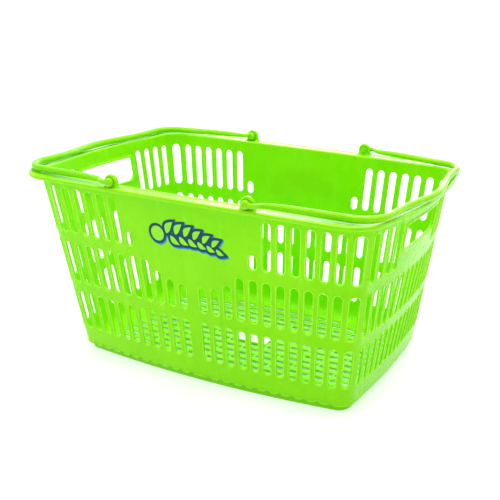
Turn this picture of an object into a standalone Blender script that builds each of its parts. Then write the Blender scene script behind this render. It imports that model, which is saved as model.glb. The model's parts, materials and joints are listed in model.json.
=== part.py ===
"""Supermarket hand basket: one moulded body, two swing handles, one floor label.

Frame: +Z up, origin on the ground under the centre of the body.
X runs along the long side, -Y is the front long wall.
Sizes below are in millimetres and angles in degrees; the scene is in metres.
"""
import math

import bpy
import bmesh
from mathutils import Matrix, Vector

MM = 0.001
GAP = 0.3                # air between neighbouring pieces

# Rim: flat flange with a lip hanging from its outer edge
RIM_TOP = 256.0
LIP_DROP = 5.0           # from the top of the rim to the bottom of the lip
RIM_HALF_X = 248.0       # half length over the lip, beside the corners
RIM_HALF_Y = 169.0       # half width over the lip, beside the corners
RIM_R = 46.0             # lip corner radius in plan
RIM_BOW_X = 12.0         # outward bow of the ends
RIM_BOW_Y = 1.5          # outward bow of the long sides
RIM_DIP = 2.0            # the rim sinks this much along each end, under the grip
SKIN = 2.4               # wall, floor and flange thickness

# Outer wall face: a value at z = 0, and its growth per mm of height
WALL_HALF_X, WALL_HALF_X_GROWTH = 203.8, 0.1272
WALL_HALF_Y, WALL_HALF_Y_GROWTH = 120.4, 0.1094
WALL_R, WALL_R_GROWTH = 22.0, 0.016        # vertical corner radius
WALL_BOW_X, WALL_BOW_X_GROWTH = 4.3, 0.0415     # outward bow of the end walls
WALL_BOW_Y, WALL_BOW_Y_GROWTH = 11.1, -0.0275   # outward bow of the long walls
INSET_TO_R = 0.6         # corner radius lost per mm of inset

# Points along a plan outline
ARC_STEPS = 5            # steps round one corner
SIDE_STEPS = 8           # steps along a long side
END_STEPS = 8            # steps along an end

# Floor and foot ring
FLOOR_UNDER = 4.8        # underside of the floor
BASE_STATIONS = (        # z, inset from the wall line: floor edge curving up to the wall
    (FLOOR_UNDER, 12.0),
    (6.6, 3.0),
    (11.0, 0.0),
)
FOOT_INSET = 5.0         # foot ring set in from the wall line
FOOT_WIDE = 3.2          # foot ring thickness
FOOT_TOP = 7.6

# Slot rows shared by all walls: z of the bottom, z of the top
ROW_TOP = (177.5, 239.3)
ROW_MIDDLE = (104.7, 162.7)
ROW_LOW = (35.9, 90.1)
PITCH_Z = 250.0          # height at which slot pitches and widths are given
TIP_SHARE = 0.42         # half width of a slot's flat tip, share of its half width
CHAMFER_SHARE = 0.62     # height of a slot's chamfer, share of its half width

# Long wall slots; columns count from the outermost one inwards
PITCH = 18.87
CENTRE_GAP = 0.829       # innermost column, in pitches from the middle
SLOT_W = 10.6
COLUMNS = 11             # columns in half a long wall
FULL_COLUMNS = 6         # columns with a full slot in the top row
STUB = (176.7, 195.0)    # short top row slot in the next column, beside the blank panel
MIDDLE_SHARES = (0.59, 0.635, 0.775)  # middle row, innermost columns: share of full height
LONG_SHRINK = 0.00047    # change of slot spacing and width per mm of height

# End wall slots and hand hole
END_PITCH = 17.6
END_SLOT_W = 10.0
END_COLUMNS = 7          # columns each side of the middle one
END_TOP_FROM = 4         # the top row starts at this column, clear of the hand hole
HAND_HALF = 54.5         # hand hole half length
HAND_LOW, HAND_HIGH = 199.0, 232.0
HAND_R_LOW, HAND_R_HIGH = 11.0, 4.0

# Wide slots on the vertical corners
CORNER_W = 13.0
CORNER_AT = 54.0         # place on the corner arc, measured from the X axis
CORNER_Z = 140.0         # height at which the slot line touches the corner
CORNER_EXTRA_LOW = 0.4   # reach below the bottom of each row
CORNER_EXTRA_HIGH = 0.6  # reach above the top of each row
CORNER_W_BASE = 0.78     # share of the slot width at z = 0; it is 1 at z = PITCH_Z
CORNER_W_GAIN = 0.22

# Floor slots
FLOOR_ROWS = 5
FLOOR_CELLS = 13         # slots in a row
FLOOR_ROW_PITCH = 37.0
FLOOR_ROW_HALF = 176.0   # half length of the middle row
FLOOR_ROW_LOSS = 4.0     # half length lost per row away from the middle
FLOOR_BAR_HALF = 3.4     # half width of the bar between two slots
FLOOR_SLOT_HALF_Y = 14.8

# Half depth of each cutter about its own plane
LONG_CUT_HALF = 200.0
END_CUT_HALF = 262.0
CORNER_CUT_HALF = 52.0
FLOOR_CUT_HALF = 8.0

# Lugs standing on the rim, with the pivot holes
PIVOT_X = 94.1           # pivot axes at x = -94.1 and +94.1
PIVOT_Z = 262.8
LUG_Y = 163.3            # middle of a lug
LUG_T = 8.0
LUG_R = 8.8
LUG_HOLE_R = 3.0
LUG_SINK = 1.2           # lug base below the top of the rim
LUG_ARC_STEPS = 10
LUG_HOLE_SIDES = 12

# Bosses and pins at the handle ends
BOSS_R = 5.4
BOSS_T = 6.5
PIN_R = 2.6
PIN_HEAD_R = PIN_R + 0.9
PIN_HEAD_T = 1.4
PIN_IN_BOSS = 2.0        # pin overlap with the boss
PIN_IN_HEAD = 0.4        # pin overlap with its head
PIN_SIDES = 16

# Handle rod
ROD_R = 4.2
GRIP_R = 4.8             # rod radius along the grip
ROOT_R = 2.7             # rod radius beside the pivot
ROOT_OFFSETS = (1.0, 11.0)   # straight root of the rod, x from the pivot
ARM_STATIONS = (
    # x from pivot, y with boss outside lug, y with boss inside lug, z from pivot, radius
    (20.0, 161.8, 156.0, 0.0, 2.9),
    (30.0, 160.0, 156.2, -0.2, 3.2),
    (55.0, 157.3, 155.6, -0.8, 3.6),
    (85.0, 154.8, 154.0, -1.5, 4.0),
)
ARM_Y = 151.0            # rod centre line where the arm meets the corner
ROD_CORNER_R = 33.0
ROD_CORNER_STEPS = 6
SHOULDER_X = 246.5       # rod centre line over the end rim, beside the corner
SHOULDER_Z = 260.7
GRIP_X = 260.3           # rod centre line in the middle of the grip
GRIP_Z = 259.2
GRIP_REACH = 95.0        # half length over which the grip steps outward
GRIP_DRIFT = 2.8         # part of the outward move spread evenly from the corner
GRIP_STEPS = 10          # steps from the corner to the middle of the grip
ROD_BEVEL = 2            # bevel resolution of the rod section
SMOOTH_ANGLE = 40        # edges sharper than this stay sharp

LABEL_SIZE = (52.0, 26.0, 0.5)
LABEL_X, LABEL_Y = 0.0, 2.0

# --------------------------------------------------------------- clean scene
for old in list(bpy.data.objects):
    bpy.data.objects.remove(old, do_unlink=True)

parts = bpy.data.collections.new("shopping_basket")
tools = bpy.data.collections.new("cutters")
for collection in (parts, tools):
    bpy.context.scene.collection.children.link(collection)


# ----------------------------------------------------------------- materials
def material(name, colour, roughness):
    mat = bpy.data.materials.new(name)
    mat.use_nodes = True
    shader = mat.node_tree.nodes["Principled BSDF"]
    shader.inputs["Base Color"].default_value = (*colour, 1.0)
    shader.inputs["Roughness"].default_value = roughness
    return mat


lime = material("lime_polypropylene", colour=(0.24, 0.80, 0.02), roughness=0.32)
lime_handle = material("lime_handle_polypropylene", colour=(0.27, 0.83, 0.03),
                       roughness=0.28)
white = material("label_white", colour=(0.88, 0.90, 0.86), roughness=0.5)


# -------------------------------------------------------------- mesh helpers
def mesh_object(name, bm, collection):
    """Turn a bmesh into a linked object."""
    mesh = bpy.data.meshes.new(name)
    bm.to_mesh(mesh)
    bm.free()
    obj = bpy.data.objects.new(name, mesh)
    collection.objects.link(obj)
    return obj


def as_cutter(obj):
    """Mark a helper that only feeds a boolean."""
    obj.hide_render = True
    obj.display_type = 'WIRE'
    return obj


def evaluated_mesh(obj):
    depsgraph = bpy.context.evaluated_depsgraph_get()
    return bpy.data.meshes.new_from_object(obj.evaluated_get(depsgraph))


def curve_to_mesh(obj, name, collection):
    """Real mesh of a curve object, caps welded, curve removed."""
    mesh = evaluated_mesh(obj)
    bm = bmesh.new()
    bm.from_mesh(mesh)
    bmesh.ops.remove_doubles(bm, verts=bm.verts, dist=0.00001)
    bmesh.ops.recalc_face_normals(bm, faces=bm.faces)
    bm.to_mesh(mesh)
    bm.free()
    solid = bpy.data.objects.new(name, mesh)
    solid.matrix_world = obj.matrix_world.copy()
    collection.objects.link(solid)
    bpy.data.objects.remove(obj, do_unlink=True)
    return solid


def outline_cutter(name, outlines, half_depth, matrix):
    """Flat outlines made solid, half the depth each way; an outline in another is a hole."""
    data = bpy.data.curves.new(name + "_curve", 'CURVE')
    data.dimensions = '2D'
    data.fill_mode = 'BOTH'
    data.extrude = half_depth * MM
    for outline in outlines:
        spline = data.splines.new('POLY')
        spline.points.add(len(outline) - 1)
        for point, (across, up) in zip(spline.points, outline):
            point.co = (across * MM, up * MM, 0.0, 1.0)
        spline.use_cyclic_u = True
    obj = bpy.data.objects.new(name + "_outline", data)
    obj.matrix_world = matrix
    tools.objects.link(obj)
    bpy.context.view_layer.update()
    return as_cutter(curve_to_mesh(obj, name, tools))


def boolean(target, tool, operation):
    mod = target.modifiers.new(tool.name, 'BOOLEAN')
    mod.operation = operation
    mod.solver = 'EXACT'
    mod.object = tool


def bake(obj):
    """Apply the modifiers so that the next step starts from a plain mesh."""
    mesh = evaluated_mesh(obj)
    obj.modifiers.clear()
    obj.data = mesh


def set_material(obj, mat):
    obj.data.materials.clear()
    obj.data.materials.append(mat)


def upright(x, y, z):
    """Stands a flat outline up in the XZ plane, its depth along Y."""
    return Matrix(((1, 0, 0, x * MM), (0, 0, -1, y * MM),
                   (0, 1, 0, z * MM), (0, 0, 0, 1)))


def turned(place, angle):
    """Upright outline turned about Z by the angle, in radians."""
    return (Matrix.Translation(Vector(place) * MM) @ Matrix.Rotation(angle, 4, 'Z')
            @ upright(0, 0, 0))


# ------------------------------------------------------------- plan outlines
def wall_half(z):
    return WALL_HALF_X + WALL_HALF_X_GROWTH * z, WALL_HALF_Y + WALL_HALF_Y_GROWTH * z


def wall_radius(z):
    return WALL_R + WALL_R_GROWTH * z


def bowed_ring(half_x, half_y, radius, bow_x, bow_y, z, dip=0.0):
    """Rounded rectangle with bowed sides, counter-clockwise from above.

    The dip lowers the middle of both ends.
    """
    inner_x, inner_y = half_x - radius, half_y - radius
    points = []
    for k, (sign_x, sign_y) in enumerate(((1, 1), (-1, 1), (-1, -1), (1, -1))):
        for i in range(ARC_STEPS + 1):
            angle = math.radians(90.0 * k + 90.0 * i / ARC_STEPS)
            points.append((sign_x * inner_x + radius * math.cos(angle),
                           sign_y * inner_y + radius * math.sin(angle), z))
        is_long_side = k % 2 == 0
        steps = SIDE_STEPS if is_long_side else END_STEPS
        for i in range(1, steps):
            along = 1.0 - 2.0 * i / steps
            bulge = 1 - along * along
            if is_long_side:
                points.append((sign_y * inner_x * along,
                               sign_y * (half_y + bow_y * bulge), z))
            else:
                points.append((sign_x * (half_x + bow_x * bulge),
                               -sign_x * inner_y * along, z - dip * (1 - along ** 4)))
    return points


def wall_ring(z, inset=0.0, dip=0.0):
    half_x, half_y = wall_half(z)
    return bowed_ring(half_x - inset, half_y - inset, wall_radius(z) - inset * INSET_TO_R,
                      WALL_BOW_X + WALL_BOW_X_GROWTH * z,
                      WALL_BOW_Y + WALL_BOW_Y_GROWTH * z, z, dip)


def rim_ring(z):
    """Inner face of the lip; the skin is added outside it."""
    return bowed_ring(RIM_HALF_X - SKIN, RIM_HALF_Y - SKIN, RIM_R - SKIN,
                      RIM_BOW_X, RIM_BOW_Y, z, RIM_DIP)


def foot_ring_line(inset, radius, z):
    half_x, half_y = wall_half(0.0)
    return bowed_ring(half_x - inset, half_y - inset, radius, WALL_BOW_X, WALL_BOW_Y, z)


def ring_verts(bm, ring):
    return [bm.verts.new(Vector(point) * MM) for point in ring]


# ------------------------------------------------------- body shell and foot
def make_shell():
    """Floor, walls, flange and lip as one surface, thickened by the skin."""
    rings = [wall_ring(z, inset) for z, inset in BASE_STATIONS]
    rings += [
        wall_ring(RIM_TOP - SKIN, 0.0, RIM_DIP),
        rim_ring(RIM_TOP - SKIN),
        rim_ring(RIM_TOP - LIP_DROP),
    ]
    bm = bmesh.new()
    loops = [ring_verts(bm, ring) for ring in rings]
    count = len(loops[0])
    bm.faces.new(list(reversed(loops[0])))
    for low, high in zip(loops, loops[1:]):
        for i in range(count):
            j = (i + 1) % count
            bm.faces.new((low[i], low[j], high[j], high[i]))
    shell = mesh_object("basket_body", bm, parts)
    skin = shell.modifiers.new("skin", 'SOLIDIFY')
    skin.thickness = SKIN * MM
    skin.offset = -1.0
    skin.use_even_offset = True
    return shell


def make_foot():
    """Closed ring that the basket stands on."""
    bm = bmesh.new()
    outer_low, outer_high = [
        ring_verts(bm, foot_ring_line(FOOT_INSET, WALL_R, z)) for z in (0.0, FOOT_TOP)]
    inner_low, inner_high = [
        ring_verts(bm, foot_ring_line(FOOT_INSET + FOOT_WIDE, WALL_R - FOOT_WIDE, z))
        for z in (0.0, FOOT_TOP)]
    count = len(outer_low)
    for i in range(count):
        j = (i + 1) % count
        bm.faces.new((outer_low[i], outer_low[j], outer_high[j], outer_high[i]))
        bm.faces.new((inner_low[j], inner_low[i], inner_high[i], inner_high[j]))
        bm.faces.new((outer_high[i], outer_high[j], inner_high[j], inner_high[i]))
        bm.faces.new((outer_low[j], outer_low[i], inner_low[i], inner_low[j]))
    return as_cutter(mesh_object("foot_ring", bm, tools))


# ---------------------------------------------------------------------- lugs
def lug_outlines():
    """Round-topped lug and its pivot hole, centred on the pivot axis."""
    base = RIM_TOP - LUG_SINK - PIVOT_Z
    edge = [(LUG_R, base)]
    for i in range(LUG_ARC_STEPS + 1):
        angle = math.radians(180.0 * i / LUG_ARC_STEPS)
        edge.append((LUG_R * math.cos(angle), LUG_R * math.sin(angle)))
    edge.append((-LUG_R, base))
    hole = [(LUG_HOLE_R * math.cos(math.tau * i / LUG_HOLE_SIDES),
             LUG_HOLE_R * math.sin(math.tau * i / LUG_HOLE_SIDES))
            for i in range(LUG_HOLE_SIDES)]
    return [edge, hole]


def add_lugs(body):
    for sign_x, sign_y in ((-1, -1), (1, -1), (-1, 1), (1, 1)):
        lug = outline_cutter("lug_%d%d" % (sign_x + 1, sign_y + 1), lug_outlines(),
                             LUG_T / 2.0, upright(sign_x * PIVOT_X, sign_y * LUG_Y, PIVOT_Z))
        boolean(body, lug, 'UNION')
    bake(body)


# --------------------------------------------------------------- slot shapes
def long_scale(z):
    return 1.0 + LONG_SHRINK * (z - PITCH_Z)


def end_scale(z):
    return wall_half(z)[1] / wall_half(PITCH_Z)[1]


def corner_scale(z):
    return CORNER_W_BASE + CORNER_W_GAIN * z / PITCH_Z


def slot_outline(centre, width, z_low, z_high, scale):
    """Slot with chamfered ends that leans with the wall's taper."""
    cheek = width / 2.0
    tip = cheek * TIP_SHARE
    chamfer = cheek * CHAMFER_SHARE
    # offset from the centre line, z of the slot end, z from that end
    profile = ((tip, z_low, 0.0), (cheek, z_low, chamfer),
               (cheek, z_high, -chamfer), (tip, z_high, 0.0))
    return [((centre + side * offset) * scale(z), z + shift)
            for side, points in ((1, profile), (-1, profile[::-1]))
            for offset, z, shift in points]


def long_wall_slots():
    slots = []
    for side in (-1, 1):
        for column in range(1, COLUMNS + 1):
            from_middle = COLUMNS - column
            centre = side * (CENTRE_GAP + from_middle) * PITCH
            spans = []
            if column <= FULL_COLUMNS:
                spans.append(ROW_TOP)
            elif column == FULL_COLUMNS + 1:
                spans.append(STUB)
            share = MIDDLE_SHARES[from_middle] if from_middle < len(MIDDLE_SHARES) else 1.0
            low, high = ROW_MIDDLE
            spans += [(low, low + (high - low) * share), ROW_LOW]
            slots += [slot_outline(centre, SLOT_W, *span, long_scale) for span in spans]
    return slots


def end_wall_slots():
    slots = []
    for k in range(-END_COLUMNS, END_COLUMNS + 1):
        spans = [ROW_TOP] if abs(k) >= END_TOP_FROM else []
        spans += [ROW_MIDDLE, ROW_LOW]
        slots += [slot_outline(k * END_PITCH, END_SLOT_W, *span, end_scale)
                  for span in spans]
    return slots


def hand_hole():
    # side, z of the edge, direction from that edge into the hole, radius, start angle
    corners = ((1, HAND_LOW, 1, HAND_R_LOW, 270), (1, HAND_HIGH, -1, HAND_R_HIGH, 0),
               (-1, HAND_HIGH, -1, HAND_R_HIGH, 90), (-1, HAND_LOW, 1, HAND_R_LOW, 180))
    points = []
    for side, z, inward, radius, start in corners:
        for i in range(4):
            angle = math.radians(start + 30.0 * i)
            points.append((side * (HAND_HALF - radius) + radius * math.cos(angle),
                           z + inward * radius + radius * math.sin(angle)))
    return points


def floor_slots():
    slots = []
    for row in range(FLOOR_ROWS):
        from_middle = row - FLOOR_ROWS // 2
        y = from_middle * FLOOR_ROW_PITCH
        row_half = FLOOR_ROW_HALF - FLOOR_ROW_LOSS * abs(from_middle)
        step = 2.0 * row_half / FLOOR_CELLS
        half_x, half_y = step / 2.0 - FLOOR_BAR_HALF, FLOOR_SLOT_HALF_Y
        for k in range(FLOOR_CELLS):
            x = -row_half + (k + 0.5) * step
            slots.append([(x - half_x, y - half_y), (x + half_x, y - half_y),
                          (x + half_x, y + half_y), (x - half_x, y + half_y)])
    return slots


# -------------------------------------------------------------- slot cutting
def cut(body, cutter):
    boolean(body, cutter, 'DIFFERENCE')
    bake(body)


def corner_cutter(sign_x, sign_y):
    """Three wide slots, one above another, square to one vertical corner."""
    half_x, half_y = wall_half(CORNER_Z)
    radius = wall_radius(CORNER_Z)
    cosine = math.cos(math.radians(CORNER_AT))
    sine = math.sin(math.radians(CORNER_AT))
    place = (sign_x * (half_x - radius + cosine * radius),
             sign_y * (half_y - radius + sine * radius), 0.0)
    angle = math.atan2(sign_y * sine, sign_x * cosine) + math.radians(90)
    # sideways lean per mm of height, so that the slots follow the tapering corner
    drift = (WALL_HALF_X_GROWTH * sine - WALL_HALF_Y_GROWTH * cosine) * (sign_x * sign_y)
    outlines = []
    for low, high in (ROW_TOP, ROW_MIDDLE, ROW_LOW):
        slot = slot_outline(0.0, CORNER_W, low - CORNER_EXTRA_LOW,
                            high + CORNER_EXTRA_HIGH, corner_scale)
        outlines.append([(across - drift * (z - CORNER_Z), z) for across, z in slot])
    return outline_cutter("corner_slots_%d%d" % (sign_x + 1, sign_y + 1), outlines,
                          CORNER_CUT_HALF, turned(place, angle))


def cut_wall_slots(body):
    """Each cutter runs through both opposite walls, except at the corners."""
    long_cutter = outline_cutter("long_wall_slots", long_wall_slots(), LONG_CUT_HALF,
                                 upright(0, 0, 0))
    end_cutter = outline_cutter("end_wall_slots", end_wall_slots() + [hand_hole()],
                                END_CUT_HALF, turned((0, 0, 0), math.radians(90)))
    cut(body, long_cutter)
    cut(body, end_cutter)
    for sign_x, sign_y in ((1, 1), (-1, 1), (-1, -1), (1, -1)):
        boolean(body, corner_cutter(sign_x, sign_y), 'DIFFERENCE')
    bake(body)


def make_body():
    body = make_shell()
    boolean(body, make_foot(), 'UNION')
    bake(body)
    add_lugs(body)
    cut_wall_slots(body)
    cut(body, outline_cutter("floor_slots", floor_slots(), FLOOR_CUT_HALF,
                             Matrix.Translation((0, 0, FLOOR_UNDER * MM))))
    set_material(body, lime)


# --------------------------------------------------------------- the handles
def rod_half(boss_y, sign):
    """Rod stations (x, y, z, radius) of the +X handle, from one boss to mid grip.

    boss_y is the y of the boss middle, sign the side of the basket it is on.
    """
    stations = [(PIVOT_X + offset, boss_y, PIVOT_Z, ROOT_R) for offset in ROOT_OFFSETS]
    for offset, y_outside, y_inside, rise, radius in ARM_STATIONS:
        y = y_outside if abs(boss_y) > LUG_Y else y_inside
        stations.append((PIVOT_X + offset, sign * y, PIVOT_Z + rise, radius))

    corner_x, corner_y = SHOULDER_X - ROD_CORNER_R, ARM_Y - ROD_CORNER_R
    for i in range(ROD_CORNER_STEPS + 1):
        angle = math.radians(90.0 - 90.0 / ROD_CORNER_STEPS * i)
        stations.append((corner_x + ROD_CORNER_R * math.cos(angle),
                         sign * (corner_y + ROD_CORNER_R * math.sin(angle)),
                         SHOULDER_Z, ROD_R))

    for i in range(1, GRIP_STEPS + 1):
        y = corner_y * (1.0 - i / GRIP_STEPS)
        blend = 0.5 + 0.5 * math.cos(math.pi * min(y / GRIP_REACH, 1.0))
        drift = GRIP_DRIFT * (1.0 - y / corner_y)
        stations.append((
            SHOULDER_X + drift + (GRIP_X - SHOULDER_X - GRIP_DRIFT) * blend,
            sign * y,
            SHOULDER_Z + (GRIP_Z - SHOULDER_Z) * (1.0 - (y / corner_y) ** 2),
            ROD_R + (GRIP_R - ROD_R) * blend))
    return stations


def make_rod(name, side, front_y, back_y):
    """Rod from the front boss to the back boss, side = -1 or +1 along X."""
    path = rod_half(front_y, -1) + rod_half(back_y, 1)[-2::-1]
    data = bpy.data.curves.new(name + "_rod", 'CURVE')
    data.dimensions = '3D'
    data.bevel_depth = ROD_R * MM
    data.bevel_resolution = ROD_BEVEL
    data.use_fill_caps = True
    spline = data.splines.new('POLY')
    spline.points.add(len(path) - 1)
    for point, (x, y, z, radius) in zip(spline.points, path):
        point.co = (side * x * MM, y * MM, z * MM, 1.0)
        point.radius = radius / ROD_R
    rod = bpy.data.objects.new(name + "_rod", data)
    parts.objects.link(rod)
    bpy.context.view_layer.update()
    return curve_to_mesh(rod, name, parts)


def pivot_cylinder(name, x, y_start, y_end, radius):
    """Cylinder on a pivot axis between two values of y."""
    bm = bmesh.new()
    bmesh.ops.create_cone(bm, cap_ends=True, segments=PIN_SIDES,
                          radius1=radius * MM, radius2=radius * MM,
                          depth=abs(y_end - y_start) * MM)
    obj = mesh_object(name, bm, tools)
    middle = (x * MM, (y_start + y_end) / 2 * MM, PIVOT_Z * MM)
    obj.matrix_world = (Matrix.Translation(middle)
                        @ Matrix.Rotation(math.radians(90), 4, 'X'))
    return as_cutter(obj)


def make_handle(name, side, front_outside, back_outside):
    """The flags say whether each boss sits outside (True) or inside its lug."""
    x = side * PIVOT_X
    ends = []    # sign of y, boss face beside the lug, direction from lug to boss
    for sign, outside in ((-1, front_outside), (1, back_outside)):
        away = 1 if outside else -1
        ends.append((sign, LUG_Y + away * (LUG_T / 2) + away * GAP, away))
    front_y, back_y = [sign * (face + away * BOSS_T / 2) for sign, face, away in ends]
    handle = make_rod(name, side, front_y, back_y)

    for k, (sign, face, away) in enumerate(ends):
        far = face - away * (LUG_T + 2 * GAP)    # head face across the lug
        cylinders = (    # label, start and end as distances from y = 0, radius
            ("boss", face, face + away * BOSS_T, BOSS_R),
            ("pin", face + away * PIN_IN_BOSS, far - away * PIN_IN_HEAD, PIN_R),
            ("head", far, far - away * PIN_HEAD_T, PIN_HEAD_R),
        )
        for label, start, end, radius in cylinders:
            tool = pivot_cylinder("%s_%s_%d" % (name, label, k), x,
                                  sign * start, sign * end, radius)
            boolean(handle, tool, 'UNION')
    bake(handle)

    # put the object's origin on the joint axis
    handle.data.transform(Matrix.Translation((-x * MM, 0.0, -PIVOT_Z * MM)))
    handle.matrix_world = Matrix.Translation((x * MM, 0.0, PIVOT_Z * MM))
    set_material(handle, lime_handle)
    handle.data.shade_smooth()
    handle.data.set_sharp_from_angle(angle=math.radians(SMOOTH_ANGLE))


# ----------------------------------------------------------- the floor label
def make_label():
    """Thin plate just above the floor."""
    bm = bmesh.new()
    bmesh.ops.create_cube(bm, size=1.0)
    bmesh.ops.scale(bm, vec=Vector(LABEL_SIZE) * MM, verts=bm.verts)
    label = mesh_object("floor_label", bm, parts)
    label.location = (LABEL_X * MM, LABEL_Y * MM,
                      (FLOOR_UNDER + SKIN + GAP + LABEL_SIZE[2] / 2) * MM)
    label.data.materials.append(white)


make_body()
make_handle("handle_left", side=-1, front_outside=True, back_outside=False)
make_handle("handle_right", side=1, front_outside=True, back_outside=True)
make_label()
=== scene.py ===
# A moulded basket with slotted walls, a drained floor, a rolled rim and two swing
# handles folded down onto the rim.  It stands on z = 0 and is centred on x = y = 0.
# Its long sides face -Y (front) and +Y (back), its ends face -X (left) and +X (right).
import json
import math
from functools import partial

import bmesh
import bpy
import numpy as np
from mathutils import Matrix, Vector
from mathutils.geometry import delaunay_2d_cdt


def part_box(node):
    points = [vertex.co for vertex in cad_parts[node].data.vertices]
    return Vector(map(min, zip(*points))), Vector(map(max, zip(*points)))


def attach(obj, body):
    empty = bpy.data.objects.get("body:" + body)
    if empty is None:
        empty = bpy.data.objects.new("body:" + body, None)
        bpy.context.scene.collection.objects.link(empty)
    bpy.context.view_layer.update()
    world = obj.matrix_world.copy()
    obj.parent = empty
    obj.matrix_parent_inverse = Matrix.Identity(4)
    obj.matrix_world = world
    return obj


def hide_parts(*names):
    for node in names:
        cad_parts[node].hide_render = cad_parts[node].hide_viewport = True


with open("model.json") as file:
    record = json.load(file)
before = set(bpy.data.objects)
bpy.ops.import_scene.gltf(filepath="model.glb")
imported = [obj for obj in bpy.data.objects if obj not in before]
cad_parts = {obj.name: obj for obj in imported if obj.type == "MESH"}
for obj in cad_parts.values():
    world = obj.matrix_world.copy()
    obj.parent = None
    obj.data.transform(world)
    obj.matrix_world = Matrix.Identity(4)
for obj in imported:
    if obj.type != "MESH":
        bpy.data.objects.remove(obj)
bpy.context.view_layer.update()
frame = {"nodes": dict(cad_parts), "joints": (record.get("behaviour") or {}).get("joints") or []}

# ---------------------------------------------------------------- dimensions
# Lengths are in millimetres until a mesh is made, and in metres in the studio.
MM = 0.001
joints = {joint["name"]: joint for joint in frame["joints"]}
pivot = joints["right_handle_swing"]["pos_m"]
PIVOT_X, PIVOT_Z = abs(pivot[0]) / MM, pivot[2] / MM

SKIN = 2.4                       # thickness of walls, rim and floor
WALL_LOW, WALL_HIGH = 26.0, 246.0       # the slotted part of the wall
WALL_STEPS = 24                  # steps up each end of the wall sheet
LEAN_END, LEAN_SIDE = 0.15, 0.1  # slope that tilts the wall's normals

RIM_TOP = 256.0
FLANGE_UNDER = RIM_TOP - SKIN
RIM_HALF_X, RIM_HALF_Y, RIM_CORNER, RIM_BOW_X, RIM_BOW_Y = 248.0, 169.0, 46.0, 12.0, 1.5
RIM_DIP = 2.0                    # the rim sinks this much along each end
# rim rings above this height also carry the painted highlight mark
RIM_CREST_Z = 255.6              # rim rings above this height are raised edges

FLOOR_TOP = 7.2
FLOOR_UNDER = FLOOR_TOP - SKIN
FLOOR_INSET = 14.2               # flat floor's edge, in from the wall line


# ------------------------------------------------------------- the wall line
# Plan of the wall's outer face; every size is linear in height.
def half_x(z): return 203.8 + 0.1272 * z
def half_y(z): return 120.4 + 0.1094 * z
def corner_x(z): return 18.8 + 0.0286 * z
def corner_y(z): return 21.1 + 0.0194 * z
def bow_x(z): return 4.3 + 0.0415 * z
def bow_y(z): return 11.1 - 0.0275 * z


# A "place" runs round the +X half in plan, from the middle of the front to the
# middle of the back, as a length measured near the top of the wall.
PLACE_Z = 250.0
CORNER = corner_x(PLACE_Z)
LONG, SHORT = half_x(PLACE_Z) - CORNER, half_y(PLACE_Z) - corner_y(PLACE_Z)
FRONT_STOP, END_START = LONG, LONG + CORNER * math.pi / 2
END_MID, END_STOP = END_START + SHORT, END_START + 2 * SHORT
BACK_START = END_STOP + CORNER * math.pi / 2
HALF = BACK_START + LONG


def plan(place, hx, hy, rx, bx, by, ry):
    """Points and outward normals in plan, for half sizes h, corner radii r and bows b."""
    place, hx, hy, rx, bx, by, ry = np.broadcast_arrays(
        np.asarray(place, float), hx, hy, rx, bx, by, ry)
    flat_x, flat_y = hx - rx, hy - ry
    x, y, normal_x, normal_y = [np.zeros_like(place) for _ in range(4)]

    def fill(part, *values):
        for out, value in zip((x, y, normal_x, normal_y), values):
            out[part] = value[part]

    for side, t, part in ((-1, place / LONG, place <= FRONT_STOP),
                          (1, (HALF - place) / LONG, place >= BACK_START)):
        fill(part, flat_x * t, side * (hy + by * (1 - t * t)), 2 * by * t, side * flat_x)
    angle = (place - FRONT_STOP) / CORNER
    fill((place > FRONT_STOP) & (place < END_START),
         flat_x + rx * np.sin(angle), -flat_y - ry * np.cos(angle),
         np.sin(angle) / rx, -np.cos(angle) / ry)
    t = (place - END_MID) / SHORT
    fill((place >= END_START) & (place <= END_STOP),
         hx + bx * (1 - t * t), flat_y * t, flat_y, 2 * bx * t)
    angle = (place - END_STOP) / CORNER
    fill((place > END_STOP) & (place < BACK_START),
         flat_x + rx * np.cos(angle), flat_y + ry * np.sin(angle),
         np.cos(angle) / rx, np.sin(angle) / ry)
    length = np.hypot(normal_x, normal_y)
    return x, y, normal_x / length, normal_y / length


def wall_line(place, z, inset=0.0):
    """Plan of the wall at height z, moved in by inset."""
    tighter = 0.6 * np.asarray(inset)
    return plan(place, half_x(z) - inset, half_y(z) - inset, corner_x(z) - tighter,
                bow_x(z), bow_y(z), corner_y(z) - tighter)


def wall(place, z, offset):
    """Points on the wall's outer face, moved outward by offset."""
    place, z, offset = np.broadcast_arrays(np.asarray(place, float),
                                           np.asarray(z, float), np.asarray(offset, float))
    x, y, normal_x, normal_y = wall_line(place, z)
    lean = LEAN_END * normal_x * normal_x + LEAN_SIDE * normal_y * normal_y
    scale = 1.0 / np.sqrt(1 + lean * lean)
    return np.stack([x + normal_x * offset * scale, y + normal_y * offset * scale,
                     z - lean * offset * scale], -1)


# -------------------------------------------------------------- slot layout
PITCH, SLOT_WIDTH, COLUMNS = 18.87, 10.7, 11      # front and back
FIRST_COLUMN = 0.829                              # pitches from the middle
END_PITCH, END_WIDTH = 17.6, 10.0
CORNER_WIDTH = 13.0
# low and high z of each row; upper slots stop short or are left out near the emblem
ROW_1, ROW_2, ROW_3 = (177.5, 239.3), (104.7, 162.7), (35.9, 90.1)
ROW_1_SHORT = (176.7, 195.0)
ROW_2_SHARE = {0: 0.59, 1: 0.635, 2: 0.775}       # column: share of the full height


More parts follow.
